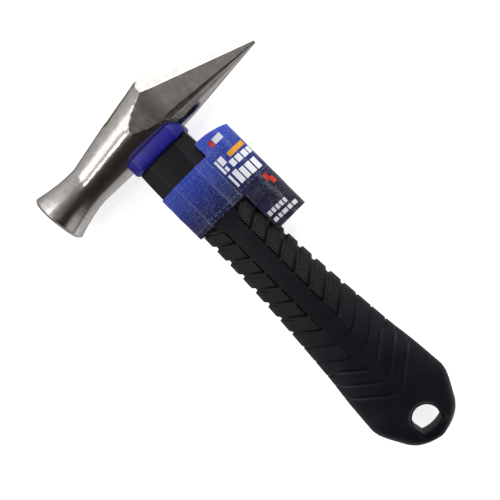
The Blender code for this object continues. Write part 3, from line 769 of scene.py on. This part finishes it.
# Thermoplastic rubber from a textured mould: matt and slightly grey on the ribbed lugs, darker
# and bluer towards the butt. The ribs are drawn 1 mm apart and the grain at 0.3 mm, both as
# coarse as they need to show.
rubber, tree, shader = start_material("moulded_black_rubber")
place = node(tree, "TexCoord").outputs["Object"]
split = node(tree, "SeparateXYZ", {"Vector": place})
off_axis = node(tree, "Math", {0: split.outputs["X"], 1: AXIS_X}, operation="SUBTRACT")
half_x = node(tree, "Math", {0: off_axis.outputs[0]}, operation="ABSOLUTE")
lean = node(tree, "Math", {0: split.outputs["Y"], 1: math.tan(RIB_SLANT)}, operation="MULTIPLY")
along = node(tree, "Math", {0: half_x.outputs[0], 1: lean.outputs[0]}, operation="ADD")
count = node(
    tree, "Math", {0: along.outputs[0], 1: 2 * math.pi * math.cos(RIB_SLANT) / RIB_SPACING},
    operation="MULTIPLY",
)
ribs = node(tree, "Math", {0: count.outputs[0]}, operation="SINE")
lug = node(tree, "Attribute", attribute_name="lug").outputs["Fac"]
top = node(tree, "MapRange", {"Value": lug, "From Min": 0.85, "From Max": 1.0})
ribs = node(tree, "Math", {0: ribs.outputs[0], 1: top.outputs[0]}, operation="MULTIPLY")
upper = node(
    tree, "MapRange",
    {"Value": split.outputs["Y"], "From Min": BUTT_Y + RIB_FADE[0],
     "From Max": BUTT_Y + RIB_FADE[1]},
)
ribs = node(tree, "Math", {0: ribs.outputs[0], 1: upper.outputs[0]}, operation="MULTIPLY")
rib_bump = node(tree, "Bump", {"Height": ribs.outputs[0], "Distance": 0.07 * MM})
grain = node(tree, "TexNoise", {"Vector": place, "Scale": 1 / (0.3 * MM), "Detail": 3})
bump = node(
    tree, "Bump",
    {"Height": grain.outputs["Fac"], "Distance": 0.03 * MM, "Normal": rib_bump.outputs[0]},
)
patches = node(tree, "TexNoise", {"Vector": place, "Scale": 1 / (4 * MM), "Detail": 4})
tone = node(
    tree, "ValToRGB", {"Fac": patches.outputs["Fac"]}, stops=((0.3, "0E0D0F"), (0.7, "171618")),
)
rough = node(tree, "MapRange", {"Value": patches.outputs["Fac"], "To Min": 0.5, "To Max": 0.62})
# darker and bluer towards the butt, below where the ribs come in
darker_towards_butt = node(
    tree, "Mix", {"Factor": upper.outputs[0], "A": linear("090813"), "B": tone.outputs[0]},
    data_type="RGBA",
)
node(
    tree, shader,
    {"Base Color": darker_towards_butt.outputs["Result"], "Roughness": rough.outputs[0], "IOR": 1.5,
     "Specular IOR Level": 0.28, "Normal": bump.outputs[0]},
)
finish_piece(pads[0], rubber, "root", "grip_rubber", 40, "grip_pad_face_side")
finish_piece(pads[1], rubber, "root", "grip_rubber", 40, "grip_pad_pick_side")

# ------------------------------------------------------------------ butt grip
# The same rubber, moulded in one with its wide flared end: smooth, satin, with three thin
# chevron grooves and an arched hang hole with a raised rounded lip.

HOLE_WIDTH = 11.8 * MM
HOLE_HEIGHT = 10.5 * MM
HOLE_FLOOR = 5 * MM
HOLE_SAG = 1.3 * MM
HOLE_TAPER = 0.88
LIP_WIDTH = 1.4 * MM
LIP_HEIGHT = 0.55 * MM
CHEVRONS = [24 * MM, 31.2 * MM, 38.5 * MM]        # where each one's point is
CHEVRON_SLOPE = 0.78
CHEVRON_WIDTH = 1.3 * MM
CHEVRON_DEPTH = 0.3 * MM
# the hang hole through the butt: height in millimetres, and how far the hole has widened there
HOLE_MOUTH = [
    (-12, 1.3), (-8.4, 1.16), (-7.9, 1.07), (-7.4, 1.02), (-6.6, 1.0),
    (6.6, 1.0), (7.4, 1.02), (7.9, 1.07), (8.4, 1.16), (12, 1.3),
]


def butt_relief(x, y):
    """How far the butt's surface is raised or, below zero, grooved."""
    spring = HOLE_FLOOR + HOLE_HEIGHT - HOLE_WIDTH / 2
    away = math.hypot(x, max(0, y - spring)) - HOLE_WIDTH / 2
    if y < HOLE_FLOOR:
        away = math.hypot(max(0, away), HOLE_FLOOR - y)
    raised = LIP_HEIGHT * max(0, 1 - (away / LIP_WIDTH) ** 2) if away > 0 else LIP_HEIGHT
    raised *= min(1, max(0, (y - 3.5 * MM) / (2 * MM)))
    for point in CHEVRONS:
        gap = (y - point - CHEVRON_SLOPE * abs(x)) / math.hypot(1, CHEVRON_SLOPE)
        share = max(0, 1 - (2 * gap / CHEVRON_WIDTH) ** 2) ** 1.5
        fade = min(1, max(0, (abs(x) - 0.8 * MM) / (3 * MM)))
        raised -= CHEVRON_DEPTH * share * fade
    return raised


levels = [0.15 * MM, 0.3 * MM, 0.5 * MM, 0.8 * MM, 1.1 * MM, 1.5 * MM, 1.9 * MM, 2.3 * MM]
butt = handle_bar("butt_grip_moulding", levels + steps(2.7 * MM, BUTT_LENGTH, 110), 0, 200)
for vert in butt.data.vertices:
    x, y, z = vert.co - at(0, 0)
    if 1 * MM < y < BUTT_LENGTH + FINE and abs(z) > 0.5 * MM:
        vert.co += outward(x, z, y) * butt_relief(x, y)
levels = steps(TONGUE_FOOT - GAP, BUTT_LENGTH + 2 * MM, 8)
pocket = handle_bar("pocket", levels, PAD_THICKNESS, 64)
combine(butt, pocket, "DIFFERENCE")

middle = at(0, HOLE_FLOOR + HOLE_HEIGHT / 2)
bpy.ops.mesh.primitive_circle_add(
    vertices=72, radius=HOLE_WIDTH / 2, fill_type="NGON",
    location=at(0, HOLE_FLOOR, HOLE_MOUTH[0][0] * MM),
)
hole = edit_new("hole_cutter")
for vert in bmesh.from_edit_mesh(hole.data).verts:
    x, y, z = vert.co - at(0, HOLE_FLOOR)
    if y > -FINE:
        y += HOLE_HEIGHT - HOLE_WIDTH / 2
    else:
        x *= HOLE_TAPER
        y = HOLE_SAG * (x / HOLE_WIDTH * 2) ** 2
    vert.co = at(x, HOLE_FLOOR + y, z)
bpy.ops.mesh.select_mode(type="FACE")
mouth = HOLE_MOUTH[0][1]
bpy.ops.transform.resize(value=(mouth, mouth, 1), center_override=middle)
for (z1, size1), (z2, size2) in zip(HOLE_MOUTH, HOLE_MOUTH[1:]):
    bpy.ops.mesh.extrude_region_move(TRANSFORM_OT_translate={"value": (0, 0, (z2 - z1) * MM)})
    bpy.ops.transform.resize(value=(size2 / size1, size2 / size1, 1), center_override=middle)
bpy.ops.mesh.select_all(action="SELECT")
bpy.ops.mesh.normals_make_consistent(inside=False)
bpy.ops.object.mode_set(mode="OBJECT")
combine(butt, hole, "DIFFERENCE")

# The same rubber from a polished part of the mould: blue-black and satin, its shine a little
# cloudy from handling. The grain is drawn at 0.4 mm, since the real one is too fine to show.
satin, tree, shader = start_material("smooth_black_rubber")
place = node(tree, "TexCoord").outputs["Object"]
grain = node(tree, "TexNoise", {"Vector": place, "Scale": 1 / (0.4 * MM), "Detail": 3})
patches = node(tree, "TexNoise", {"Vector": place, "Scale": 1 / (7 * MM), "Detail": 3})
tone = node(
    tree, "ValToRGB", {"Fac": patches.outputs["Fac"]}, stops=((0.3, "070610"), (0.7, "0C0A17")),
)
rough = node(tree, "MapRange", {"Value": patches.outputs["Fac"], "To Min": 0.42, "To Max": 0.55})
bump = node(tree, "Bump", {"Height": grain.outputs["Fac"], "Distance": 0.015 * MM})
node(
    tree, shader,
    {"Base Color": tone.outputs[0], "Roughness": rough.outputs[0], "IOR": 1.5,
     "Specular IOR Level": 0.28, "Normal": bump.outputs[0]},
)
finish_piece(butt, satin, "root", "grip_rubber", 35, "butt_grip")

# ------------------------------------------------------------------ label
# Printed shrink film: a strap round the neck, and a taller flag looped out on the pick's side.
# Glossy and slightly wrinkled over the neck's edges. The print is plain bars and blocks on a blue
# ground, with painted light and shade on the blue and one dark block of painted shade.

STRAP = (125.3 * MM, 147.3 * MM)
FLAG = (106.1 * MM, 154.1 * MM)
FLAG_DROP = 2.9 * MM
FLAG_START = 11.4 * MM
FLAG_REACH = 27 * MM
FLAG_RADIUS = 8.6 * MM
FILM_THICKNESS = 0.15 * MM
FILM_FRONT = (5.7 * MM, 11.45 * MM)               # where the strap turns, from the axis
FILM_SIDE = (13.85 * MM, 5.6 * MM)
FILM_STEP = 0.6 * MM
FILM_INSET = 0.1 * MM
CRUMPLE = 0.12 * MM               # how far the film wrinkles in and out
CRUMPLE_LENGTHS = (5 * MM, 2 * MM)
LOOP_MIDDLE = 18 * MM             # the flag wrinkles to and from this place
PERFORATIONS = [144.9 * MM, 127.6 * MM]
DASH_LENGTH = 2.2 * MM
SLIT_HALF = 0.16 * MM

turn_z = FILM_FRONT[1] + (FILM_SIDE[1] - FILM_FRONT[1]) * (
    (FLAG_START - FILM_FRONT[0]) / (FILM_SIDE[0] - FILM_FRONT[0])
)
bend = [
    (FLAG_REACH - FLAG_RADIUS + FLAG_RADIUS * math.cos(turn), FLAG_RADIUS * math.sin(turn))
    for turn in steps(math.radians(100), math.radians(-100), 24)
]
corners = [
    (FLAG_START, -turn_z), (FILM_FRONT[0], -FILM_FRONT[1]), (-FILM_FRONT[0], -FILM_FRONT[1]),
    (-FILM_SIDE[0], -FILM_SIDE[1]), (-FILM_SIDE[0], FILM_SIDE[1]), (-FILM_FRONT[0], FILM_FRONT[1]),
    FILM_FRONT, (FLAG_START, turn_z), *bend, (FLAG_START, -turn_z),
]
lengths = [math.dist(here, after) for here, after in zip(corners, corners[1:])]
strap_length = sum(lengths[:7])
path_length = sum(lengths)


def film_place(run):
    """Point on the film's path, as (x, z), after a run along it."""
    run = run % path_length
    for here, after, length in zip(corners, corners[1:], lengths):
        if run <= length:
            share = run / length
            return Vector([a + (b - a) * share for a, b in zip(here, after)])
        run -= length
    return Vector(corners[0])


def film_point(run):
    """The same with the corners rounded over a short way."""
    around = [film_place(run + shift * 0.35 * MM) for shift in range(-2, 3)]
    return sum(around, Vector((0, 0))) / len(around)


strap_columns = round(strap_length / FILM_STEP)
flag_columns = round((path_length - strap_length) / FILM_STEP)
columns = steps(0, strap_length, strap_columns)
columns += steps(strap_length, path_length, flag_columns)[1:]
heights = steps(FLAG[0], STRAP[0], 32) + steps(*STRAP, 37)[1:] + steps(STRAP[1], FLAG[1], 11)[1:]
bpy.ops.mesh.primitive_grid_add(
    x_subdivisions=len(columns) - 1, y_subdivisions=len(heights) - 1, size=1, location=(0, 0, 0),
)
label = bpy.context.object
label.name = label.data.name = "printed_label"
outside = []
for vert in label.data.vertices:
    column = round((vert.co.x + 0.5) * (len(columns) - 1))
    row = round((vert.co.y + 0.5) * (len(heights) - 1))
    x, z = film_point(columns[column])
    y = heights[row]
    if column not in (0, strap_columns) or not STRAP[0] <= y <= STRAP[1]:
        if column <= strap_columns and not STRAP[0] - FINE < y < STRAP[1] + FINE:
            outside.append(vert.index)
    reach = max(0, (x - FLAG_START) / (FLAG_REACH - FLAG_START))
    if y > STRAP[1]:
        y -= FLAG_DROP * reach**2 * (y - STRAP[1]) / (FLAG[1] - STRAP[1])
    crumple = noise.noise(Vector((x, y, z)) / CRUMPLE_LENGTHS[0])
    crumple += 0.5 * noise.noise(Vector((x, y * 0.5, z)) / CRUMPLE_LENGTHS[1])
    out = Vector((x - (LOOP_MIDDLE if reach > 0 else 0), z)).normalized()
    x, z = Vector((x, z)) + out * (crumple * CRUMPLE - FILM_INSET)
    vert.co = at(x, y, z)
outside = set(outside)
bpy.ops.object.mode_set(mode="EDIT")
pick("FACE", lambda face: (
    all(vert.co.y < BUTT_Y + STRAP[0] + FINE or vert.co.y > BUTT_Y + STRAP[1] - FINE
        for vert in face.verts) and any(vert.index in outside for vert in face.verts)
))
bpy.ops.mesh.delete(type="FACE")
bpy.ops.mesh.select_all(action="SELECT")
bpy.ops.mesh.remove_doubles(threshold=0.001 * MM)
bpy.ops.object.mode_set(mode="OBJECT")
if sum(face.normal.x for face in label.data.polygons if face.center.x > AXIS_X + 24 * MM) < 0:
    label.data.flip_normals()
apply_modifier(label, "SOLIDIFY", thickness=FILM_THICKNESS, offset=-1)

# Printed film: glossy, with soft creases that break the highlights. The blue ground is painted
# lighter towards the head and darker, to a brownish near black, towards its foot: painted light
# from the head's end and painted shade below it. It is speckled with lighter print dots, drawn at
# 0.35 mm since real ones are too fine to show. The print faces the front, and the flag's back is
# left plain.
film, tree, shader = start_material("printed_film")
place = node(tree, "TexCoord").outputs["Object"]
split = node(tree, "SeparateXYZ", {"Vector": place})
height = node(tree, "Math", {0: split.outputs["Y"], 1: BUTT_Y}, operation="SUBTRACT")
share = node(
    tree, "MapRange",
    {"Value": height.outputs[0], "From Min": FLAG[0], "From Max": FLAG[1]},
)
# painted light and shade on the blue, by height from the flag's foot to its top: lighter towards
# the head, darkest at the foot
PAINTED_LIGHT_ON_BLUE = [
    (0, "2B2718"), (0.03, "15121C"), (0.35, "14111F"), (0.45, "141538"), (0.62, "1B2870"),
    (0.8, "2A3FA0"), (1, "3B53C4"),
]
blue_and_painted_light = node(tree, "ValToRGB", {"Fac": share.outputs[0]}, stops=PAINTED_LIGHT_ON_BLUE)
uv = node(tree, "TexCoord").outputs["UV"]
along = node(tree, "SeparateXYZ", {"Vector": uv}).outputs["X"]
print_place = node(tree, "CombineXYZ", {"X": split.outputs["X"], "Y": height.outputs[0], "Z": 0.0})
speckle = node(tree, "TexNoise", {"Vector": place, "Scale": 1 / (0.35 * MM), "Detail": 2})
fleck = node(
    tree, "MapRange",
    {"Value": speckle.outputs["Fac"], "From Min": 0.56, "From Max": 0.7, "To Max": 0.45},
)
print_and_painted_light = node(
    tree, "Mix", {"Factor": fleck.outputs[0], "A": blue_and_painted_light.outputs[0], "B": linear("8C9AD8")},
    data_type="RGBA",
).outputs["Result"]
facing = node(tree, "Math", {0: split.outputs["Z"], 1: MID_Z}, operation="GREATER_THAN")
# blocks of print, and one dark block of painted shade: millimetres from the axis, millimetres
# above the butt end, and colour
BLOCKS = [
    ((16.0, 18.0), (147.9, 150.6), "B8241C"), ((18.3, 22.5), (147.9, 150.6), "D8DAE4"),
    ((18.8, 26.3), (140.2, 142.4), "E8A020"),
    ((12.2, 13.3), (136.6, 143.2), "EDEFF6"), ((13.9, 16.3), (139.6, 143.2), "EDEFF6"),
    ((13.9, 15.2), (136.6, 138.7), "EDEFF6"), ((16.9, 19.2), (136.4, 139.4), "EDEFF6"),
    ((19.8, 22.2), (136.2, 139.2), "EDEFF6"), ((22.8, 24.9), (136.0, 139.0), "EDEFF6"),
    ((25.3, 26.6), (135.9, 138.8), "EDEFF6"),
    ((12.4, 13.5), (129.4, 135.4), "EDEFF6"), ((14.6, 17.0), (129.4, 135.4), "EDEFF6"),
    ((17.6, 19.8), (129.2, 134.4), "EDEFF6"), ((20.4, 22.8), (129.0, 134.2), "EDEFF6"),
    ((23.4, 25.4), (128.8, 134.0), "EDEFF6"),
    ((22.6, 24.2), (122.8, 126.0), "C8321E"), ((23.7, 25.4), (120.4, 123.4), "C8321E"),
    # painted shade, not print: a dark block where the flag's film turns away from the light beside
    # the neck
    ((12.8, 16.3), (107.0, 128.4), "181538"),
    ((13.2, 14.9), (111.8, 113.9), "D5D7DE"), ((15.4, 16.9), (111.8, 113.9), "D5D7DE"),
    ((17.5, 19.0), (111.7, 113.8), "D5D7DE"), ((19.5, 20.9), (111.6, 113.7), "D5D7DE"),
    ((21.5, 22.7), (111.5, 113.6), "D5D7DE"), ((13.2, 15.2), (108.6, 110.4), "D5D7DE"),
    ((15.9, 17.3), (108.6, 110.4), "D5D7DE"), ((17.9, 20.3), (108.5, 110.3), "D5D7DE"),
    ((20.9, 22.6), (108.4, 110.2), "D5D7DE"), ((23.2, 25.2), (108.3, 110.1), "D5D7DE"),
]
for (x1, x2), (y1, y2), code in BLOCKS:
    centre = (AXIS_X + (x1 + x2) / 2 * MM, (y1 + y2) / 2 * MM, 0.0)
    away = node(tree, "VectorMath", {0: print_place.outputs[0], 1: centre}, operation="SUBTRACT")
    away = node(tree, "VectorMath", {0: away.outputs[0]}, operation="ABSOLUTE")
    size = ((x2 - x1) / 2 * MM, (y2 - y1) / 2 * MM, 1.0)
    away = node(tree, "VectorMath", {0: away.outputs[0], 1: size}, operation="DIVIDE")
    away = node(tree, "SeparateXYZ", {"Vector": away.outputs[0]})
    away = node(tree, "Math", {0: away.outputs["X"], 1: away.outputs["Y"]}, operation="MAXIMUM")
    within = node(tree, "Math", {0: away.outputs[0], 1: 1.0}, operation="LESS_THAN")
    within = node(tree, "Math", {0: within.outputs[0], 1: facing.outputs[0]}, operation="MULTIPLY")
    print_and_painted_light = node(
        tree, "Mix", {"Factor": within.outputs[0], "A": print_and_painted_light, "B": linear(code)},
        data_type="RGBA",
    ).outputs["Result"]
dash = node(tree, "Math", {0: along, 1: path_length / DASH_LENGTH}, operation="MULTIPLY")
dash = node(tree, "Math", {0: dash.outputs[0]}, operation="FRACT")
dash = node(tree, "Math", {0: dash.outputs[0], 1: 0.55}, operation="LESS_THAN")
for line in PERFORATIONS:
    off = node(tree, "Math", {0: height.outputs[0], 1: line}, operation="SUBTRACT")
    off = node(tree, "Math", {0: off.outputs[0]}, operation="ABSOLUTE")
    off = node(tree, "Math", {0: off.outputs[0], 1: SLIT_HALF}, operation="LESS_THAN")
    slit = node(tree, "Math", {0: off.outputs[0], 1: dash.outputs[0]}, operation="MULTIPLY")
    print_and_painted_light = node(
        tree, "Mix", {"Factor": slit.outputs[0], "A": print_and_painted_light, "B": linear("5B66A8")},
        data_type="RGBA",
    ).outputs["Result"]
creases = node(tree, "TexNoise", {"Vector": place, "Scale": 1 / (3 * MM), "Detail": 2})
rough = node(tree, "MapRange", {"Value": creases.outputs["Fac"], "To Min": 0.16, "To Max": 0.34})
bump = node(tree, "Bump", {"Height": creases.outputs["Fac"], "Distance": 0.12 * MM})
fine_bump = node(
    tree, "Bump",
    {"Height": speckle.outputs["Fac"], "Distance": 0.015 * MM, "Normal": bump.outputs[0]},
)
node(
    tree, shader,
    {"Base Color": print_and_painted_light, "Roughness": rough.outputs[0], "IOR": 1.5,
     "Normal": fine_bump.outputs[0]},
)
finish_piece(label, film, "root", "label_film", 40, "label")

# ------------------------------------------------------------------ floor, light and camera
# A plain white floor under a soft studio light: two big window lamps at the head's end, a few
# narrow ones for streaks in the steel, and a room that is bright ahead and dark overhead.

FLOOR_SIZE = 6
FLOOR_DROP = 0.2 * MM             # clear of the hammer's underside
VIEW_SWING = math.radians(5)      # the camera stands a little towards the pick
HANDLE_LEAN = math.radians(45)
CAMERA_DISTANCE = 600 * MM
FOCAL_LENGTH = 105.8

bpy.ops.mesh.primitive_plane_add(size=FLOOR_SIZE, location=(0, 0, -FLOOR_DROP))
floor = bpy.context.object
floor.name = "floor"
# White background paper: quite matt, and so bright that only a faint shadow is left on it.
paper, tree, shader = start_material("white_paper")
node(
    tree, shader,
    {"Base Color": linear("F4F4F4"), "Roughness": 0.9, "Emission Color": (1, 1, 1, 1),
     "Emission Strength": 0.75},
)
floor.data.materials.append(paper)
floor.visible_glossy = False       # the room's ramp stands in for it in reflections

lamps = [
    # name, place, aims at, size, power
    ("right_window", (0.75, 0.75, 0.5), (0, 0, 0), (1.0, 1.0), 8.0),
    ("left_window", (-0.8, 0.75, 0.6), (0, 0, 0), (1.1, 1.1), 8.0),
    ("streak", (-0.26, 0.29, 0.85), (-0.02, 0.08, 0), (0.14, 0.025), 0.6),
    ("left_strip", (-0.7, 0.05, 0.68), (0, 0.0, 0), (0.03, 0.4), 0.5),
    ("right_strip", (0.72, 0.05, 0.66), (0, 0.0, 0), (0.03, 0.4), 0.5),
]
for name, place, target, size, power in lamps:
    data = bpy.data.lights.new(name, "AREA")
    data.shape = "RECTANGLE"
    data.size, data.size_y = size
    data.energy = power
    lamp = bpy.data.objects.new(name, data)
    bpy.context.scene.collection.objects.link(lamp)
    lamp.location = place
    lamp.rotation_euler = (Vector(target) - Vector(place)).to_track_quat("-Z", "Y").to_euler()
    lamp.visible_camera = False

world = bpy.data.worlds.new("studio")
bpy.context.scene.world = world
world.use_nodes = True
tree = world.node_tree
direction = node(tree, "SeparateXYZ", {"Vector": node(tree, "TexCoord").outputs["Generated"]})
turn = node(
    tree, "Math", {0: direction.outputs["Y"], 1: direction.outputs["Z"]}, operation="ARCTAN2",
)
turn = node(
    tree, "MapRange", {"Value": turn.outputs[0], "From Min": -math.pi, "From Max": math.pi},
)
aside = node(
    tree, "MapRange", {"Value": direction.outputs["X"], "From Min": -1.0, "From Max": 1.0},
)
# how bright the room is, by degrees from overhead towards the head's top
ROOM = [
    (-180, 0.3), (-135, 0.8), (-105, 0.7), (-85, 0.06), (-45, 0.03), (-10, 0.04), (2, 0.06),
    (14, 0.16), (30, 0.42), (55, 0.75), (85, 0.85), (112, 0.7), (135, 0.45), (158, 0.15),
    (180, 0.3),
]
# how much brighter it gets towards the pick's side, from -1 on the face's side to 1
SIDE = [
    (-1, 0), (-0.3, 0), (0, 0.01), (0.2, 0.1), (0.42, 0.22), (0.65, 0.12), (0.85, 0.02), (1, 0),
]
ramps = []
for table, value in ((ROOM, turn), (SIDE, aside)):
    ramp = node(tree, "ValToRGB", {"Fac": value.outputs[0]})
    ramp.color_ramp.interpolation = "EASE"
    low, high = table[0][0], table[-1][0]
    for place, _ in table[1:-1]:
        ramp.color_ramp.elements.new((place - low) / (high - low))
    for stop, (_, level) in zip(ramp.color_ramp.elements, table):
        stop.color = (level, level, level, 1)
    ramps.append(ramp.outputs["Color"])
ahead = node(
    tree, "MapRange", {"Value": direction.outputs["Y"], "From Min": -0.2, "From Max": 0.0},
)
level = node(
    tree, "Math", {0: ahead.outputs[0], 1: ramps[1], 2: ramps[0]}, operation="MULTIPLY_ADD",
)
beside = node(
    tree, "MapRange", {"Value": direction.outputs["X"], "From Min": 0.12, "From Max": 0.36},
)
for low, high, glow in ((0.55, 0.8, 1.6), (-0.6, -0.8, 0.9)):
    corner = node(
        tree, "MapRange",
        {"Value": direction.outputs["Y"], "From Min": low, "From Max": high, "To Max": glow},
    )
    level = node(
        tree, "Math", {0: corner.outputs[0], 1: beside.outputs[0], 2: level.outputs[0]},
        operation="MULTIPLY_ADD",
    )
# the dark parts of the room are a little brown
lit = node(tree, "MapRange", {"Value": level.outputs[0], "From Min": 0.03, "From Max": 0.2})
tint = node(
    tree, "Mix", {"Factor": lit.outputs[0], "A": (1.3, 0.95, 0.92, 1), "B": (1, 1, 1, 1)},
    data_type="RGBA",
)
light = node(
    tree, "VectorMath", {0: tint.outputs["Result"], 1: level.outputs[0]}, operation="MULTIPLY",
)
node(tree, tree.nodes["Background"], {"Color": light.outputs[0], "Strength": 1.0})

camera_data = bpy.data.cameras.new("camera")
camera_data.lens = FOCAL_LENGTH
camera_data.sensor_width = 36
camera = bpy.data.objects.new("camera", camera_data)
bpy.context.scene.collection.objects.link(camera)
swing = Matrix.Rotation(VIEW_SWING, 4, "Y")
aim = at(-2.86 * MM, 108.2 * MM)
camera.location = aim + swing @ Vector((0, 0, CAMERA_DISTANCE))
camera.rotation_euler = (swing @ Matrix.Rotation(-HANDLE_LEAN, 4, "Z")).to_euler()
bpy.context.scene.camera = camera
bpy.context.scene.view_settings.view_transform = "Standard"
